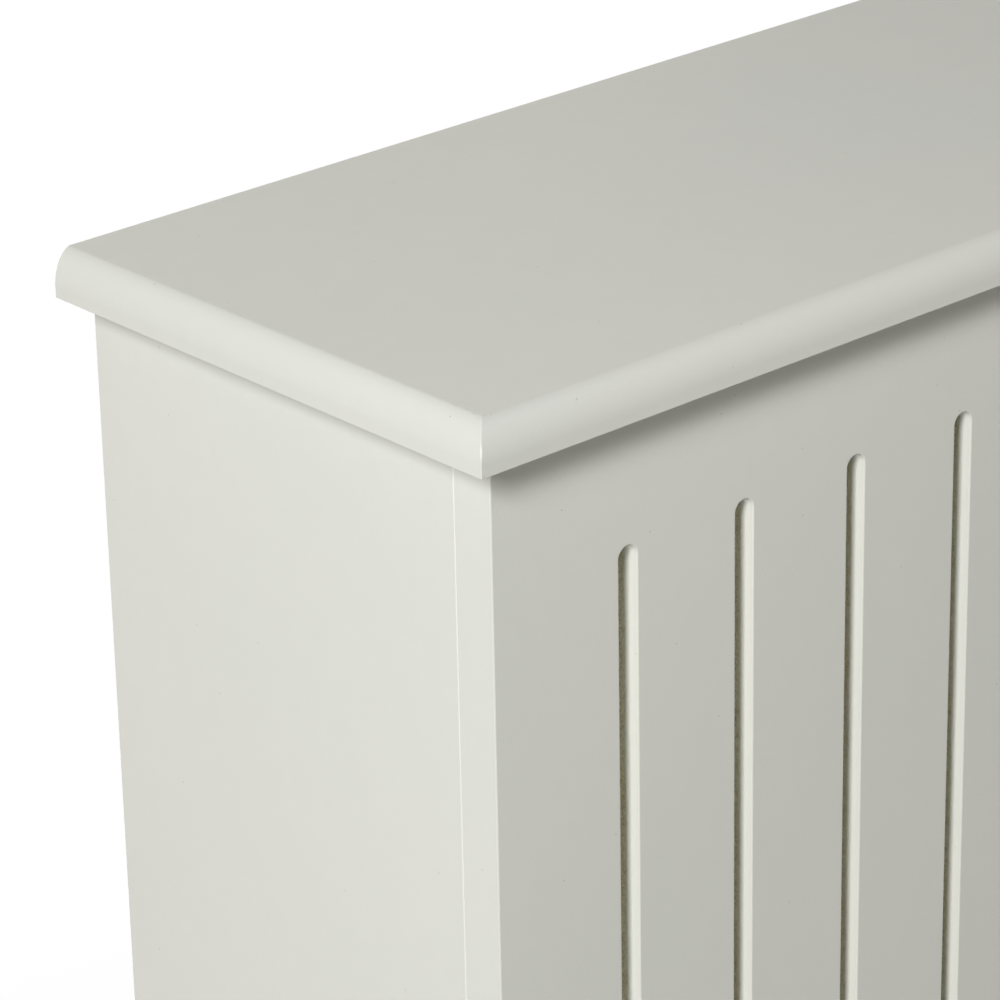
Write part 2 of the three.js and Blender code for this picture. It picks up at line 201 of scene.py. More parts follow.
def offset(loop, distance):
    """The loop moved towards its left by a distance, with mitred corners."""
    moved = []
    count = len(loop)
    for i, point in enumerate(loop):
        here = Vector(point)
        into = (here - Vector(loop[i - 1])).normalized()
        out = (Vector(loop[(i + 1) % count]) - here).normalized()
        left = Vector((-into.y - out.y, into.x + out.x)) / (1 + into.dot(out))
        moved.append(tuple(here + left * distance))
    return moved


def quarter_round(radius, steps):
    """Offsets and depths round a sanded edge, from the face to the wall."""
    angles = [math.pi / 2 * i / steps for i in range(steps + 1)]
    return [(radius * (1 - math.sin(a)), radius * (1 - math.cos(a))) for a in angles]


# ---------------------------------------------------------------- meshes


def board_mesh(name, loops, thickness, front_arris, back_arris, to_space):
    """A board from its outline and its through holes, all with the material on their left.

    to_space turns a point of the outline and its depth under the front face into a place.
    The walls of the holes take the board's second material."""
    front_edge = quarter_round(front_arris, 4)
    back_edge = [(inset, thickness - depth) for inset, depth in quarter_round(back_arris, 3)]
    stations = front_edge + back_edge[::-1]
    mesh = bmesh.new()
    front_loops = []
    back_loops = []
    for loop in loops:
        rings = []
        for inset, depth in stations:
            rings.append([mesh.verts.new(to_space(x, y, depth)) for x, y in offset(loop, inset)])
        for near, far in zip(rings, rings[1:]):
            for i in range(len(loop)):
                wall = mesh.faces.new((near[i - 1], near[i], far[i], far[i - 1]))
                wall.material_index = int(loop is not loops[0])
        front_loops.append(rings[0])
        back_loops.append(rings[-1])
    for side in (front_loops, back_loops):
        edges = []
        for ring in side:
            edges += [mesh.edges.get((ring[i - 1], ring[i])) for i in range(len(ring))]
        bmesh.ops.triangle_fill(mesh, use_beauty=True, use_dissolve=False, edges=edges)
    bmesh.ops.recalc_face_normals(mesh, faces=mesh.faces)
    return finished(name, mesh)


def finished(name, mesh):
    data = bpy.data.meshes.new(name)
    mesh.to_mesh(data)
    mesh.free()
    return data


def lathe_mesh(name, profile, steps):
    """A solid turned about +Z from (radius, height) points that start and end on the axis."""
    mesh = bmesh.new()
    rings = []
    for radius, height in profile:
        if radius == 0:
            rings.append([mesh.verts.new((0, 0, height))] * steps)
            continue
        ring = []
        for i in range(steps):
            angle = 2 * math.pi * i / steps
            ring.append(mesh.verts.new((radius * math.cos(angle), radius * math.sin(angle), height)))
        rings.append(ring)
    for low, high in zip(rings, rings[1:]):
        for i in range(steps):
            corners = [low[i - 1], low[i], high[i], high[i - 1]]
            corners = [v for k, v in enumerate(corners) if v not in corners[:k]]
            if len(corners) > 2:
                mesh.faces.new(corners)
    bmesh.ops.recalc_face_normals(mesh, faces=mesh.faces)
    return finished(name, mesh)


def rod_mesh(radius, start, end, steps=40):
    return lathe_mesh("rod", [(0, start), (radius, start), (radius, end), (0, end)], steps)


def loft_mesh(name, levels):
    """A solid through outlines of equal length, each at its own height: (height, points)."""
    mesh = bmesh.new()
    rings = [[mesh.verts.new((x, y, height)) for x, y in points] for height, points in levels]
    for low, high in zip(rings, rings[1:]):
        for i in range(len(low)):
            mesh.faces.new((low[i - 1], low[i], high[i], high[i - 1]))
    mesh.faces.new(rings[0][::-1])
    mesh.faces.new(rings[-1])
    bmesh.ops.recalc_face_normals(mesh, faces=mesh.faces)
    return finished(name, mesh)


def prism_mesh(points, start, end):
    return loft_mesh("prism", [(start, points), (end, points)])


def joined(name, parts):
    """One mesh of several (mesh, matrix) parts."""
    whole = bmesh.new()
    for data, matrix in parts:
        piece = data.copy()
        piece.transform(matrix)
        whole.from_mesh(piece)
        bpy.data.meshes.remove(piece)
    return finished(name, whole)


def combined(data, tool, operation):
    """The mesh less the tool, or common to both. Faces of the tool keep its materials."""
    body = bpy.data.objects.new("body", data)
    other = bpy.data.objects.new("tool", tool)
    for thing in (body, other):
        bpy.context.scene.collection.objects.link(thing)
    modifier = body.modifiers.new("combined", "BOOLEAN")
    modifier.operation = operation
    modifier.solver = "EXACT"
    modifier.use_self = True
    modifier.material_mode = "TRANSFER"
    modifier.object = other
    graph = bpy.context.evaluated_depsgraph_get()
    result = bpy.data.meshes.new_from_object(body.evaluated_get(graph))
    result.name = data.name
    for thing in (body, other):
        bpy.data.objects.remove(thing)
    return result


def cut(data, tool, inside=None):
    """The mesh less the tool, with the cut faces in the inside material, if there is one."""
    if inside:
        tool.materials.append(inside)
    return combined(data, tool, "DIFFERENCE")


def in_metres(data):
    """The mesh brought to metres, and smooth but for its real edges."""
    mesh = bmesh.new()
    mesh.from_mesh(data)
    mesh.transform(Matrix.Scale(MM, 4))
    for face in mesh.faces:
        face.smooth = True
    for edge in mesh.edges:
        edge.smooth = edge.is_manifold and edge.calc_face_angle() < SMOOTH_LIMIT
    mesh.to_mesh(data)
    mesh.free()
    return data


def shown(name, data, node, body=CABINET, place=Matrix.Identity(4)):
    """A piece in place of a node, riding on its body. The place is in millimetres."""
    piece = bpy.data.objects.new(name, data)
    bpy.context.scene.collection.objects.link(piece)
    piece.matrix_world = Matrix.Translation(place.to_translation() * MM) @ place.to_3x3().to_4x4()
    weighted = piece.modifiers.new("even_normals", "WEIGHTED_NORMAL")
    weighted.keep_sharp = True
    weighted.weight = FACE_AREA_ONLY
    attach(piece, body)
    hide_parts(node)
    return piece


# ---------------------------------------------------------------- materials


class Nodes:
    """A short way to write a node tree: each call adds a node and gives its output."""

    def __init__(self, name):
        self.material = bpy.data.materials.new(name)
        self.material.use_nodes = True
        self.tree = self.material.node_tree
        self.shader = self.tree.nodes["Principled BSDF"]

    def add(self, kind, inputs=None, output=0, **settings):
        node = self.tree.nodes.new(kind)
        for key, value in settings.items():
            setattr(node, key, value)
        for key, value in (inputs or {}).items():
            self.feed(node.inputs[key], value)
        return node.outputs if output is None else node.outputs[output]

    def feed(self, socket, value):
        if isinstance(value, bpy.types.NodeSocket):
            self.tree.links.new(value, socket)
        else:
            socket.default_value = value

    def place(self):
        return self.add("ShaderNodeTexCoord", output="Object")

    def noise(self, scale, detail=3.0, roughness=0.5, vector=None):
        return self.add("ShaderNodeTexNoise", {
            "Vector": vector or self.place(),
            "Scale": scale,
            "Detail": detail,
            "Roughness": roughness,
        })

    def cells(self, scale):
        """The distance from the nearest of many scattered points, about one for each cell."""
        return self.add("ShaderNodeTexVoronoi", {"Vector": self.place(), "Scale": scale})

    def math(self, operation, a, b=0.0):
        return self.add("ShaderNodeMath", {0: a, 1: b}, operation=operation)

    def ramp(self, value, low, high, to_low=0.0, to_high=1.0):
        """The value from low to high, eased to the other two."""
        return self.add("ShaderNodeMapRange", {
            "Value": value,
            "From Min": low,
            "From Max": high,
            "To Min": to_low,
            "To Max": to_high,
        }, interpolation_type="SMOOTHSTEP")

    def mix(self, factor, a, b, blend="MIX"):
        node = self.tree.nodes.new("ShaderNodeMix")
        node.data_type = "RGBA"
        node.blend_type = blend
        self.feed(node.inputs[0], factor)
        self.feed(node.inputs[6], a)
        self.feed(node.inputs[7], b)
        return node.outputs[2]

    def bump(self, height, distance):
        return self.add("ShaderNodeBump", {"Height": height, "Distance": distance, "Strength": 1.0})

    def surface(self, **sockets):
        for name, value in sockets.items():
            self.feed(self.shader.inputs[name.replace("_", " ")], value)
        return self.material


PAINT_COOL = (0.698, 0.710, 0.667, 1)
PAINT_WARM = (0.714, 0.718, 0.673, 1)
NIB = (0.30, 0.29, 0.25, 1)
# A thin coat over fibre deep in the slots; its warmer, darker colour is partly painted shade.
THIN_COAT_AND_SHADE = (0.72, 0.69, 0.56, 1)
THIN_COAT_AND_SHADE_DARK = (0.44, 0.42, 0.31, 1)
# Painted shade: the moulded edge of the shelf is drawn a little darker than its flat top.
MOULDING_SHADE = (0.975, 0.975, 0.975, 1)
# Painted shade on the sanded front arris, which holds back its highlight.
ARRIS_SHADE = (0.90, 0.895, 0.88, 1)
CORE = (0.36, 0.31, 0.22, 1)
CORE_DARK = (0.12, 0.10, 0.065, 1)
ZINC = (0.5, 0.505, 0.51, 1)
ZINC_DARK = (0.36, 0.365, 0.37, 1)
STEEL = (0.48, 0.49, 0.50, 1)
STEEL_DARK = (0.33, 0.35, 0.38, 1)
STEEL_STREAK = (0.58, 0.59, 0.60, 1)
BEECH = (0.66, 0.45, 0.25, 1)
BEECH_DARK = (0.50, 0.30, 0.15, 1)

# How deep the bump of each surface is, in metres.
PAINT_RELIEF = 0.00004
CORE_RELIEF = 0.0002
ZINC_RELIEF = 0.00006
STEEL_RELIEF = 0.00003
BEECH_RELIEF = 0.0001

# Rolling and growth draw the pattern out along one axis by these shares of its scale.
ROLLED_STRETCH = (1.0, 1.0, 0.08)
GRAIN_STRETCH = (1.0, 1.0, 0.12)

# How strongly the dust nibs and the pinholes are stained.
NIB_SHARE = 0.6
STAIN_SHARE = 0.7

# The paint's gloss, and its roughness from one patch to another.
PAINT_SPECULAR = 0.35
PAINT_ROUGHNESS = (0.438, 0.462)
THIN_ROUGHNESS = (0.45, 0.9)

# Where one look passes into another, in metres: the painted shade of the moulded edge about the
# crease, the pinholes across the crease and along it from a mitre, the painted shade of the sanded
# arris from the front face, and the end of the coat in a slot, whose colour there is partly painted
# shade, with how far that end wanders.
MOULDING_SHADE_FADE = (-0.0006, 0.0010)
PIT_BAND = (0.0002, 0.0007)
PIT_REACH = (0.004, 0.014)
ARRIS_SHADE_START = (0.00002, 0.00012)
ARRIS_SHADE_END = (0.5 * FRONT_ARRIS * MM, 1.5 * FRONT_ARRIS * MM)
COAT_AND_SHADE_END = (0.0045, 0.0072)
COAT_WANDER = 0.004


def paint_tone(n):
    """The colour of the paint, with slow shifts of tone and a few grey dust nibs."""
    tone = n.ramp(n.noise(7, detail=2), 0.3, 0.7)
    colour = n.mix(tone, PAINT_COOL, PAINT_WARM)
    mottle = n.ramp(n.noise(110, detail=4), 0.3, 0.75, 0.995, 1.004)
    colour = n.mix(1.0, colour, n.add("ShaderNodeCombineColor", {0: mottle, 1: mottle, 2: mottle}),
                   blend="MULTIPLY")
    nib = n.ramp(n.cells(105), 0.012, 0.034, 1.0, 0.0)
    return n.mix(n.math("MULTIPLY", nib, NIB_SHARE), colour, NIB), nib


def paint_surface(n, colour, nib, rough=None):
    """The satin film over a colour: orange peel, fine sanding grain and the nibs."""
    peel = n.noise(850, detail=2, roughness=0.45)
    grain = n.noise(3200, detail=1)
    height = n.math("ADD", n.math("MULTIPLY", peel, 0.8), n.math("MULTIPLY", grain, 0.2))
    height = n.math("ADD", height, nib)
    sheen = n.ramp(n.noise(160, detail=3), 0.3, 0.7, *PAINT_ROUGHNESS)
    return n.surface(
        Base_Color=colour,
        Roughness=rough or sheen,
        Specular_IOR_Level=PAINT_SPECULAR,
        Normal=n.bump(height, PAINT_RELIEF),
    )


def satin_paint(name):
    n = Nodes(name)
    colour, nib = paint_tone(n)
    return paint_surface(n, colour, nib)


def creased_paint(name):
    """Satin paint, a little darker on the moulded edge as painted shade, and with faint pinholes in
    the crease between that edge and the flat top, close to the mitres."""
    n = Nodes(name)
    colour, nib = paint_tone(n)
    place = n.add("ShaderNodeSeparateXYZ", {"Vector": n.place()}, output=None)
    half = (shelf_high.x - MOULDING_WIDTH) * MM
    from_side = n.math("SUBTRACT", n.math("ABSOLUTE", place["X"]), half)
    from_front = n.math("SUBTRACT", (shelf_low.y + MOULDING_WIDTH) * MM, place["Y"])
    # Painted shade on the moulded edge, fading in about the crease.
    moulded = n.ramp(n.math("MAXIMUM", from_side, from_front), *MOULDING_SHADE_FADE)
    colour = n.mix(moulded, colour, MOULDING_SHADE, blend="MULTIPLY")
    side_gap = n.math("ABSOLUTE", from_side)
    front_gap = n.math("ABSOLUTE", from_front)
    reach = n.math("MINIMUM", side_gap, front_gap)
    under = n.math("SUBTRACT", shelf_high.z * MM, place["Z"])
    away = n.math("MAXIMUM", reach, under)
    band = n.ramp(away, *PIT_BAND, 1.0, 0.0)
    pits = n.ramp(n.noise(900, detail=2), 0.58, 0.70)
    mitre = n.ramp(n.math("MAXIMUM", side_gap, front_gap), *PIT_REACH, 1.0, 0.0)
    pits = n.math("MULTIPLY", n.math("MULTIPLY", pits, mitre), band)
    stain = n.math("MULTIPLY", pits, STAIN_SHARE)
    return paint_surface(n, n.mix(stain, colour, NIB), n.math("SUBTRACT", nib, pits))


def arris_shaded(n, colour):
    """The colour darkened on the sanded front arris as painted shade, which holds back its highlight,
    and the depth under the front face.
    """
    along = n.add("ShaderNodeSeparateXYZ", {"Vector": n.place()}, output="Y")
    depth = n.math("SUBTRACT", along, front_low.y * MM)
    # Painted shade on the arris, between the two depths.
    arris_shade_mask = n.math("MULTIPLY", n.ramp(depth, *ARRIS_SHADE_START), n.ramp(depth, *ARRIS_SHADE_END, 1.0, 0.0))
    return n.mix(arris_shade_mask, colour, n.mix(1.0, colour, ARRIS_SHADE, blend="MULTIPLY")), depth


def arris_shaded_paint(name):
    n = Nodes(name)
    colour, nib = paint_tone(n)
    colour, _ = arris_shaded(n, colour)
    return paint_surface(n, colour, nib)


def thinning_shaded_paint(name):
    """Paint that reaches the first millimetres of a slot and thins out to bare fibre; the warmer,
    darker colour deep in the slot is partly painted shade.
    """
    n = Nodes(name)
    colour, nib = paint_tone(n)
    colour, depth = arris_shaded(n, colour)
    wander = n.math("MULTIPLY", n.math("SUBTRACT", n.noise(500, detail=3), 0.5), COAT_WANDER)
    # Partly painted shade: deeper in the slot the colour turns warmer and darker.
    bare_and_shaded = n.ramp(n.math("ADD", depth, wander), *COAT_AND_SHADE_END)
    fibre = n.noise(1300, detail=4, roughness=0.75)
    fibre_and_shade_colour = n.mix(n.ramp(fibre, 0.36, 0.60), THIN_COAT_AND_SHADE_DARK, THIN_COAT_AND_SHADE)
    return paint_surface(n, n.mix(bare_and_shaded, colour, fibre_and_shade_colour), n.math("ADD", nib, fibre),
                         n.ramp(bare_and_shaded, 0.0, 1.0, *THIN_ROUGHNESS))


def raw_core(name):
    """Bare fibreboard inside the drilled holes."""
    n = Nodes(name)
    fibre = n.noise(2600, detail=5, roughness=0.7)
    colour = n.mix(n.ramp(fibre, 0.3, 0.7), CORE_DARK, CORE)
    return n.surface(Base_Color=colour, Roughness=0.9, Normal=n.bump(fibre, CORE_RELIEF))


def zinc_casting(name):
    n = Nodes(name)
    cast = n.noise(1400, detail=4, roughness=0.6)
    cloud = n.ramp(n.noise(200, detail=3), 0.3, 0.7)
    return n.surface(
        Base_Color=n.mix(cloud, ZINC_DARK, ZINC),
        Metallic=1.0,
        Roughness=n.ramp(cast, 0.3, 0.7, 0.38, 0.6),
        Normal=n.bump(cast, ZINC_RELIEF),
    )


def plated_steel(name):
    n = Nodes(name)
    stretched = n.add("ShaderNodeMapping", {"Vector": n.place(), "Scale": ROLLED_STRETCH})
    rolled = n.noise(1800, detail=4, vector=stretched)
    cloud = n.mix(n.ramp(n.noise(120, detail=3), 0.3, 0.7), STEEL_DARK, STEEL)
    streak = n.ramp(rolled, 0.35, 0.65, 0.0, 0.35)
    return n.surface(
        Base_Color=n.mix(streak, cloud, STEEL_STREAK),
        Metallic=1.0,
        Roughness=n.ramp(rolled, 0.3, 0.7, 0.24, 0.42),
        Normal=n.bump(rolled, STEEL_RELIEF),
    )


def beech(name):
    n = Nodes(name)
    stretched = n.add("ShaderNodeMapping", {"Vector": n.place(), "Scale": GRAIN_STRETCH})
    figure = n.noise(500, detail=5, roughness=0.6, vector=stretched)
    colour = n.mix(n.ramp(figure, 0.3, 0.7), BEECH_DARK, BEECH)
    return n.surface(Base_Color=colour, Roughness=0.7, Normal=n.bump(figure, BEECH_RELIEF))


paint = satin_paint("satin_paint")
front_paint = arris_shaded_paint("arris_shaded_paint")
shelf_paint = creased_paint("creased_paint")
slot_paint = thinning_shaded_paint("thinning_shaded_paint")
core = raw_core("raw_core")
zinc = zinc_casting("zinc_casting")
steel = plated_steel("plated_steel")
wood = beech("beech")

# ---------------------------------------------------------------- holes


def joint_matrix(at, into, face):
    """The space of a joint between two boards: its X runs into the board that is drilled in its
    edge, and its Z out of that board's inner face."""
    side = face.cross(into)
    columns = Matrix((into, side, face)).transposed().to_4x4()
    return Matrix.Translation(at) @ columns


def along_x():
    return Matrix.Rotation(math.pi / 2, 4, "Y")


X = Vector((1, 0, 0))
Y = Vector((0, 1, 0))
Z = Vector((0, 0, 1))


def side_panel_at(x):
    return "side_panel_left" if x < 0 else "side_panel_right"


def lock_places():
    """The cam locks, from the joints of the frame: name, joint space, and the two boards."""
    places = []
    for joint in frame["joints"]:
        name = joint["name"].removeprefix("turn_")
        cam = Vector(joint["pos_m"]) / MM
        face = Vector(joint["axis"])
        to_shelf = name.startswith("shelf")
        into = -Z if to_shelf else Y
        flat = "shelf" if to_shelf else "front_panel"
        edge = "front_panel" if abs(face.y) > 0.5 else side_panel_at(cam.x)
        places.append((name, joint_matrix(cam - into * CAM_BACKSET, into, face), edge, flat))
    return places


def dowel_places():
    """The dowels, from the nodes of the frame: joint space, and the two boards."""
    places = []
    for node in frame["nodes"]:
        if not node.startswith("dowel_"):
            continue
        low, high = node_box(node)
        middle = (low + high) / 2
        upright = high.z - low.z > high.y - low.y
        into = -Z if upright else Y
        at = middle.copy()
        if upright:
            at.z = CABINET_TOP
        else:
            at.y = front_high.y
        in_front = upright and middle.y < front_high.y
        edge = "front_panel" if in_front else side_panel_at(middle.x)
        places.append((joint_matrix(at, into, X), edge, "shelf" if upright else "front_panel"))
    return places


locks = lock_places()
dowels = dowel_places()
screws = [node for node in frame["nodes"] if node.startswith("bracket_screw_")]


def drillings(board):
    """Everything drilled out of a board, as one mesh."""
    lengthwise = along_x()
    bore = rod_mesh(CAM_BORE_RADIUS, BOARD / 2 - CAM_BORE_DEPTH, BOARD, 64)
    bore_at = Matrix.Translation((CAM_BACKSET, 0, 0))
    passage = rod_mesh(EDGE_HOLE_RADIUS, -OVERCUT, CAM_BACKSET)
    pilot = rod_mesh(PILOT_RADIUS, -PILOT_DEPTH, OVERCUT)
    edge_hole = rod_mesh(DOWEL_HOLE_RADIUS, -OVERCUT, DOWEL_EDGE_DEPTH)
    face_hole = rod_mesh(DOWEL_HOLE_RADIUS, -DOWEL_FACE_DEPTH, OVERCUT)
    parts = []
    for _, space, edge, flat in locks:
        if edge == board:
            parts += [(bore, space @ bore_at), (passage, space @ lengthwise)]
        if flat == board:
            parts.append((pilot, space @ lengthwise))
    for space, edge, flat in dowels:
        if edge == board:
            parts.append((edge_hole, space @ lengthwise))
        if flat == board:
            parts.append((face_hole, space @ lengthwise))
    if board == "shelf":
        hole = rod_mesh(SCREW_HOLE_RADIUS, -OVERCUT, SCREW_HOLE_DEPTH)
        for node in screws:
            low, high = node_box(node)
            middle = (low + high) / 2
            parts.append((hole, Matrix.Translation((middle.x, middle.y, CABINET_TOP))))
    return joined("drillings", parts)


# ---------------------------------------------------------------- boards


def slot_loop(x):
    """A slot's outline, run clockwise so that the board lies on its left."""
    radius = SLOT_WIDTH / 2
    points = arc(x, slot_top - radius, radius, 0, 180, 24)
    points += arc(x, slot_bottom + radius, radius, 180, 360, 24)
    return points[::-1]


def front_board():
    left, right = front_low.x, front_high.x
    inner_left, inner_right = left + FOOT_WIDTH, right - FOOT_WIDTH
    corner = CORNER_RADIUS
    outline = rounded([
        (left, 0, corner),
        (inner_left, 0, corner),
        (inner_left, INLET_HEIGHT, INLET_RADIUS),
        (inner_right, INLET_HEIGHT, INLET_RADIUS),
        (inner_right, 0, corner),
        (right, 0, corner),
        (right, CABINET_TOP, corner),
        (left, CABINET_TOP, corner),
    ], steps=10)
    loops = [outline] + [slot_loop(x) for x in slot_places]
    data = board_mesh("front_panel_board", loops, BOARD, FRONT_ARRIS, BACK_ARRIS,
                      lambda x, z, depth: (x, front_low.y + depth, z))
    data.materials.append(front_paint)
    data.materials.append(slot_paint)
    data = cut(data, drillings("front_panel"), core)
    shown("slotted_front", in_metres(data), "front_panel")


def side_board(side, hand):
    low, high = side_boxes[side]
    corner = CORNER_RADIUS
    outline = rounded([
        (low.y, 0, corner),
        (high.y - SKIRTING_DEPTH, 0, corner),
        (high.y - SKIRTING_DEPTH, SKIRTING_HEIGHT, NOTCH_RADIUS),
        (high.y, SKIRTING_HEIGHT, corner),
        (high.y, CABINET_TOP, corner),
        (low.y, CABINET_TOP, corner),
    ], steps=6)
    outer = low.x if hand < 0 else high.x
    data = board_mesh(f"side_board_{side}", [outline], BOARD, SIDE_ARRIS, BACK_ARRIS,
                      lambda y, z, depth: (outer - hand * depth, y, z))
    data.materials.append(paint)
    data = cut(data, drillings(f"side_panel_{side}"), core)
    shown(f"side_board_{side}", in_metres(data), f"side_panel_{side}")


def crease_fillet(start, slope, steps=5):
    """The paint that fills the crease, from the moulding's last point to the flat top."""
    bend = Vector((start.x + (SHELF_THICKNESS - start.y) / slope, SHELF_THICKNESS))
    end = Vector((MOULDING_WIDTH + CREASE_ABOVE, SHELF_THICKNESS))
    shares = [i / steps for i in range(1, steps + 1)]
    return [start.lerp(bend, t).lerp(bend.lerp(end, t), t) for t in shares]


def shelf_profile():
    """(inset, rear inset, height) stations from the underside up to the flat top."""
    stations = [(inset, inset, depth) for inset, depth in quarter_round(SHELF_ARRIS, 4)]
    across = MOULDING_WIDTH / (1 - math.cos(MOULDING_TURN))
    upright = (SHELF_THICKNESS - LIP_HEIGHT) / math.sin(MOULDING_TURN)
    turn = math.acos(1 - (MOULDING_WIDTH - CREASE_BELOW) / across)
    steps = 20
    curve = []
    for i in range(steps + 1):
        angle = turn * i / steps
        curve.append(Vector((across * (1 - math.cos(angle)), LIP_HEIGHT + upright * math.sin(angle))))
    curve += crease_fillet(curve[-1], upright / across / math.tan(turn))
    for inset, height in curve:
        rear = max(0.0, SHELF_ARRIS - (SHELF_THICKNESS - height))
        stations.append((inset, rear, height))
    return stations


def mitre_radius(height):
    """The front corners are sharp, but for a dulled spot halfway up."""
    near = max(0.0, 1 - ((height - MITRE_WORN_HEIGHT) / MITRE_WORN_REACH) ** 2)
    return MITRE_RADIUS + (MITRE_WORN_RADIUS - MITRE_RADIUS) * near


def shelf_board():
    levels = []
    for inset, rear, height in shelf_profile():
        worn = mitre_radius(height)
        ring = rounded([
            (shelf_low.x + inset, shelf_low.y + inset, worn),
            (shelf_high.x - inset, shelf_low.y + inset, worn),
            (shelf_high.x - inset, shelf_high.y - rear, MITRE_RADIUS),
            (shelf_low.x + inset, shelf_high.y - rear, MITRE_RADIUS),
        ], steps=6)
        levels.append((shelf_low.z + height, ring))
    data = loft_mesh("shelf_board", levels)
    data.materials.append(shelf_paint)
    data = cut(data, drillings("shelf"), core)
    shown("moulded_shelf", in_metres(data), "shelf")


front_board()
for side, hand in HANDS:
    side_board(side, hand)
shelf_board()

# ---------------------------------------------------------------- cam nuts


def sector(inner, outer, start, end, steps):
    """Outline of a ring's sector between two radii."""
    angles = [start + (end - start) * i / steps for i in range(steps + 1)]
    far = [(outer * math.cos(a), outer * math.sin(a)) for a in angles]
    near = [(inner * math.cos(a), inner * math.sin(a)) for a in angles]
    return far + near[::-1]


def recess_blade(length, width, depth, top):
    """One blade of a cross recess, drawn in towards its foot."""
    full = (length / 2, width / 2)
    foot = (full[0] * RECESS_FOOT_LENGTH, full[1] * RECESS_FOOT_WIDTH)
    levels = []
    for height, (half_length, half_width) in ((top - depth, foot), (top, full), (top + OVERCUT, full)):
        levels.append((height, [
            (half_length, half_width),
            (-half_length, half_width),
            (-half_length, -half_width),
            (half_length, -half_width),
        ]))
    return loft_mesh("blade", levels)


def cross_recess(length, width, depth, top):
    blade = recess_blade(length, width, depth, top)
    quarter = Matrix.Rotation(math.pi / 2, 4, "Z")
    return [(blade, Matrix.Identity(4)), (blade, quarter)]


def nut_mesh():
    """The cam nut about its axis, with its mouth and arrow along +X at rest."""
    rim = NUT_RADIUS - NUT_CHAMFER
    blank = lathe_mesh("cam_nut", [
        (0, NUT_BOTTOM),
        (rim, NUT_BOTTOM),
        (NUT_RADIUS, NUT_BOTTOM + NUT_CHAMFER),
        (NUT_RADIUS, NUT_TOP - NUT_CHAMFER),
        (rim, NUT_TOP),
        (0, NUT_TOP),
    ], 72)

    def winding(angle):
        """The radius of the hollow, which draws in towards the side opposite the mouth."""
        opened = abs(math.pi - angle % (2 * math.pi)) / math.pi
        return LOCKED_RADIUS + (OPEN_RADIUS - LOCKED_RADIUS) * opened

    turn = [2 * math.pi * i / 72 for i in range(72)]
    hollow = [(winding(a) * math.cos(a), winding(a) * math.sin(a)) for a in turn]
    neck = sector(LOCKED_RADIUS / 2, NUT_RADIUS + OVERCUT, 0, NECK_END, 48)
    arrow = [
        (ARROW_TIP, 0),
        (ARROW_TIP - ARROW_LENGTH, ARROW_WIDTH / 2),
        (ARROW_TIP - ARROW_LENGTH, -ARROW_WIDTH / 2),
    ]
    still = Matrix.Identity(4)
    tools = [
        (prism_mesh(hollow, -HOLLOW_HALF, HOLLOW_HALF), still),
        (prism_mesh(neck, -NECK_HALF, NECK_HALF), still),
        (rod_mesh(MOUTH_RADIUS, LOCKED_RADIUS / 2, NUT_RADIUS + OVERCUT), along_x()),
        (prism_mesh(arrow, NUT_TOP - ARROW_DEPTH, NUT_TOP + OVERCUT), still),
        *cross_recess(RECESS_LENGTH, RECESS_WIDTH, RECESS_DEPTH, NUT_TOP),
    ]
    blank.materials.append(zinc)
    return in_metres(cut(blank, joined("nut_tools", tools), zinc))


nut = nut_mesh()
for name, space, _, _ in locks:
    place = space @ Matrix.Translation((CAM_BACKSET, 0, 0))
    shown(f"cam_nut_{name}", nut, f"cam_{name}", f"cam_{name}", place)

# ---------------------------------------------------------------- wall brackets and screws


def bracket_mesh():
    """The angle with the outer corner of its bend at the origin: one leg forward, one down."""
    leg, thick = BRACKET_LEG, BRACKET_THICKNESS
    half = BRACKET_WIDTH / 2
    section = rounded([
        (-leg, 0, BRACKET_EDGE),
        (-leg, -thick, BRACKET_EDGE),
        (-thick, -thick, BRACKET_BEND),
        (-thick, -leg, BRACKET_EDGE),
        (0, -leg, BRACKET_EDGE),
        (0, 0, thick + BRACKET_BEND),
    ], steps=8)
    outline = rounded([
        (-half, OVERCUT, BRACKET_EDGE),
        (-half, -leg, BRACKET_CORNER),
        (half, -leg, BRACKET_CORNER),
        (half, OVERCUT, BRACKET_EDGE),
    ], steps=8)
    x_along = Matrix(((0, 0, 1), (1, 0, 0), (0, 1, 0))).to_4x4()
    upright = Matrix(((1, 0, 0), (0, 0, -1), (0, 1, 0))).to_4x4()
    body = joined("wall_bracket", [(prism_mesh(section, -half, half), x_along)])
    plan = prism_mesh(outline, -2 * leg, leg)
    elevation = joined("elevation", [(prism_mesh(outline, -leg, 2 * leg), upright)])
    hole = rod_mesh(BRACKET_HOLE_RADIUS, -2 * thick, 2 * thick)
    holes = [(hole, Matrix.Translation((0, -reach, 0))) for reach in BRACKET_HOLES]
    holes += [(hole, upright @ Matrix.Translation((0, -reach, 0))) for reach in BRACKET_HOLES]
    body = combined(combined(body, plan, "INTERSECT"), elevation, "INTERSECT")
    body.materials.append(steel)
    return in_metres(cut(body, joined("holes", holes), steel))


def screw_mesh():
    """A pan-head screw that points up, with the underside of its head at the origin."""
    dome = [(HEAD_RADIUS * math.sin(a), -HEAD_HEIGHT * math.cos(a))
            for a in [math.pi / 2 * i / 12 for i in range(13)]]
    body = lathe_mesh("bracket_screw", [
        (0, -HEAD_HEIGHT),
        *dome[1:],
        (SCREW_RADIUS, 0),
        (SCREW_RADIUS, SCREW_LENGTH - SCREW_TIP),
        (0, SCREW_LENGTH),
    ], 48)
    over = Matrix.Rotation(math.pi, 4, "X")
    tools = [(blade, over @ turn) for blade, turn in
             cross_recess(HEAD_RADIUS, RECESS_WIDTH, HEAD_RECESS_DEPTH, HEAD_HEIGHT)]
    body.materials.append(steel)
    return in_metres(cut(body, joined("screw_tools", tools), steel))


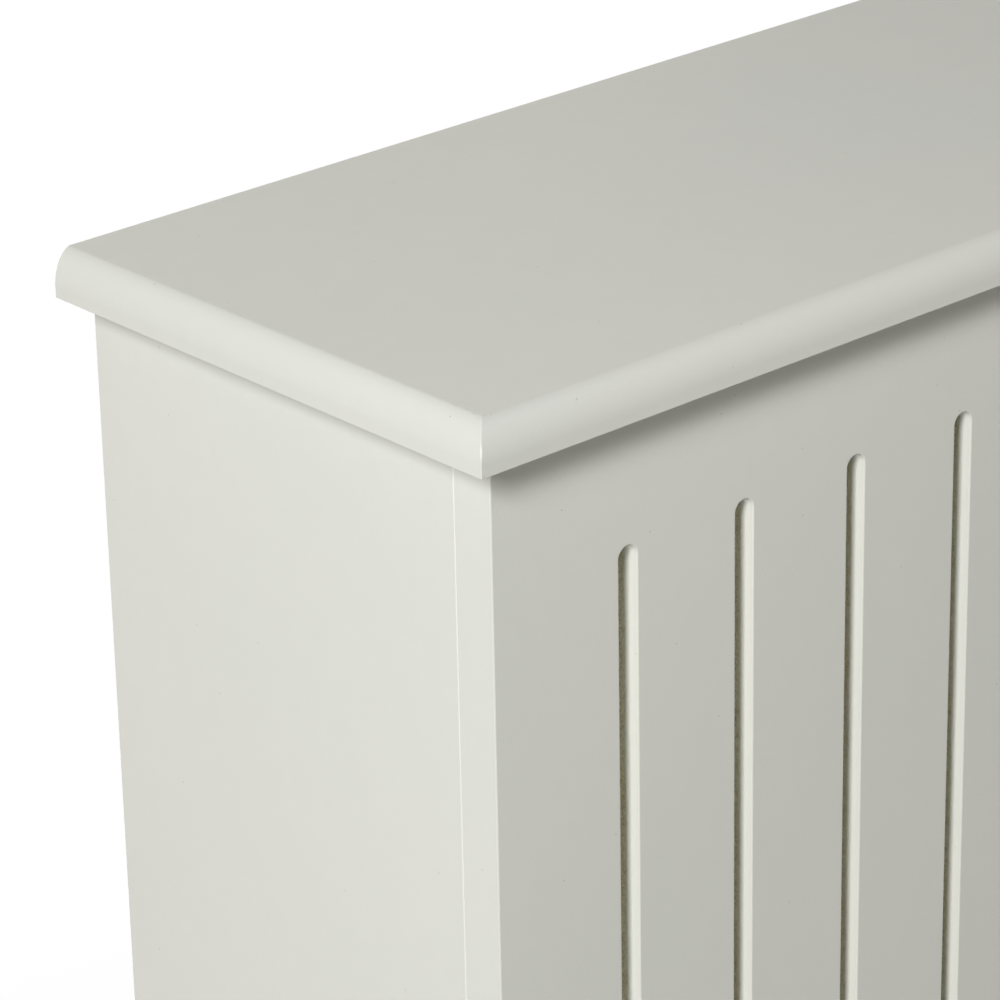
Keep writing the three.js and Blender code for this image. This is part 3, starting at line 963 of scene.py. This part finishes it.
def softened(piece):
    """The stamped edges of sheet metal, slightly rounded."""
    bevel = piece.modifiers.new("stamped_edges", "BEVEL")
    bevel.width = BRACKET_EDGE * MM
    bevel.segments = 2
    bevel.limit_method = "ANGLE"
    bevel.angle_limit = BRACKET_STAMPED_LIMIT
    bevel.use_clamp_overlap = True
    piece.modifiers.move(1, 0)


bracket = bracket_mesh()
screw = screw_mesh()
for side, _ in HANDS:
    low, high = node_box(f"wall_bracket_{side}")
    corner = Matrix.Translation(((low.x + high.x) / 2, high.y, high.z))
    softened(shown(f"bracket_{side}", bracket, f"wall_bracket_{side}", place=corner))
for node in screws:
    low, high = node_box(node)
    head = Matrix.Translation(((low.x + high.x) / 2, (low.y + high.y) / 2, low.z + HEAD_HEIGHT))
    shown(f"pan_head_{node}", screw, node, place=head)

# ---------------------------------------------------------------- pieces kept from the frame

for node, piece in frame["nodes"].items():
    if node.startswith(("bolt_", "dowel_")):
        piece.data.materials.clear()
        piece.data.materials.append(steel if node.startswith("bolt_") else wood)

# ---------------------------------------------------------------- studio


WHITE = (1, 1, 1, 1)
NEAR_CORNER = (-0.38, -0.085, 0.8)

# The floor: half its size, what it throws back, and how the camera sees it near and far off.
FLOOR_REACH = 30.0
FLOOR_BOUNCE = (0.22, 0.20, 0.105, 1)
FLOOR_PALE = (0.7, 0.7, 0.7, 1)
FLOOR_LIFT = 0.45
FLOOR_NEAR = 0.5
FLOOR_FAR = 1.0

# Lamps: place, target, size in metres, power in watts and tint.
PLAIN = (1, 1, 1)
LAMPS = {
    "key": ((-2.32, -1.205, 2.12), NEAR_CORNER, (0.62, 0.8), 68, (1.0, 0.993, 0.965)),
    "low_fill": ((-2.58, -1.36, 0.26), NEAR_CORNER, (0.6, 0.45), 21.2, (0.99, 1.0, 1.09)),
    "front_fill": ((0.214, -1.358, 2.361), NEAR_CORNER, (0.5, 0.5), 9, PLAIN),
    "back": ((0.5, 2.2, 1.6), NEAR_CORNER, (2.4, 1.4), 8.5, (1.0, 0.95, 0.82)),
    "rear_fill": ((1.9, 1.7, 0.35), (0.1, 0.1, 0.4), (1.2, 0.7), 28, PLAIN),
    "right_fill": ((2.3, 0.8, 0.3), (0.38, 0.0, 0.35), (1.0, 0.5), 16, PLAIN),
}

# The camera, solved from the straight edges of the photo.
CAMERA_PLACE = (-1.1272, -0.9362, 1.2868)
CAMERA_YAW = math.radians(41.479)
CAMERA_PITCH = math.radians(23.776)
CAMERA_ROLL = math.radians(-1.168)
CAMERA_LENS = 163.6
CAMERA_SENSOR = 36.0
CAMERA_FAR_CLIP = 60.0


def seen_directly(tree):
    """1 for the camera's own rays, reflections and rays through something, 0 for the rest."""
    path = tree.nodes.new("ShaderNodeLightPath")
    seen = path.outputs["Is Camera Ray"]
    for ray in ("Is Glossy Ray", "Is Transmission Ray"):
        either = tree.nodes.new("ShaderNodeMath")
        either.operation = "MAXIMUM"
        tree.links.new(seen, either.inputs[0])
        tree.links.new(path.outputs[ray], either.inputs[1])
        seen = either.outputs[0]
    return seen


def studio_floor():
    """A pale floor: the camera sees it white but for the shadow, and it runs out to plain white
    away from the cover. The light it throws back is a dim warm one."""
    mesh = bmesh.new()
    bmesh.ops.create_grid(mesh, x_segments=1, y_segments=1, size=FLOOR_REACH)
    floor = bpy.data.objects.new("studio_floor", finished("studio_floor", mesh))
    bpy.context.scene.collection.objects.link(floor)
    n = Nodes("studio_floor")
    n.surface(Base_Color=FLOOR_BOUNCE, Roughness=0.9, Specular_IOR_Level=0.0)
    seen = seen_directly(n.tree)
    distance = n.add("ShaderNodeVectorMath", {0: n.place()}, output="Value", operation="LENGTH")
    far = n.ramp(distance, FLOOR_NEAR, FLOOR_FAR)
    pale = n.add("ShaderNodeBsdfDiffuse", {"Color": FLOOR_PALE})
    lift = n.add("ShaderNodeEmission", {"Color": WHITE, "Strength": FLOOR_LIFT})
    near = n.add("ShaderNodeAddShader", {0: pale, 1: lift})
    white = n.add("ShaderNodeEmission", {"Color": WHITE, "Strength": 1.0})
    view = n.add("ShaderNodeMixShader", {0: far, 1: near, 2: white})
    whole = n.add("ShaderNodeMixShader", {0: seen, 1: n.shader.outputs[0], 2: view})
    n.feed(n.tree.nodes["Material Output"].inputs["Surface"], whole)
    floor.data.materials.append(n.material)


def studio_world():
    """A white background that is seen, and mirrored, but gives no light of its own."""
    world = bpy.data.worlds.new("studio")
    bpy.context.scene.world = world
    world.use_nodes = True
    tree = world.node_tree
    background = tree.nodes["Background"]
    background.inputs["Color"].default_value = WHITE
    tree.links.new(seen_directly(tree), background.inputs["Strength"])


def area_light(name, place, target, size, power, tint):
    lamp = bpy.data.lights.new(name, "AREA")
    lamp.color = tint
    lamp.shape = "RECTANGLE"
    lamp.size, lamp.size_y = size
    lamp.energy = power
    holder = bpy.data.objects.new(name, lamp)
    holder.location = place
    away = Vector(place) - Vector(target)
    holder.rotation_euler = away.to_track_quat("Z", "Y").to_euler()
    holder.visible_camera = False
    bpy.context.scene.collection.objects.link(holder)


def photo_camera():
    camera = bpy.data.cameras.new("camera")
    camera.lens = CAMERA_LENS
    camera.sensor_width = CAMERA_SENSOR
    camera.clip_end = CAMERA_FAR_CLIP
    holder = bpy.data.objects.new("camera", camera)
    turn = Matrix.Rotation(-CAMERA_YAW, 4, "Z") @ Matrix.Rotation(math.pi / 2 - CAMERA_PITCH, 4, "X")
    turn = turn @ Matrix.Rotation(CAMERA_ROLL, 4, "Z")
    holder.matrix_world = Matrix.Translation(CAMERA_PLACE) @ turn
    bpy.context.scene.collection.objects.link(holder)
    bpy.context.scene.camera = holder


studio_floor()
studio_world()
for name, settings in LAMPS.items():
    area_light(name, *settings)
photo_camera()
bpy.context.scene.view_settings.view_transform = "Standard"
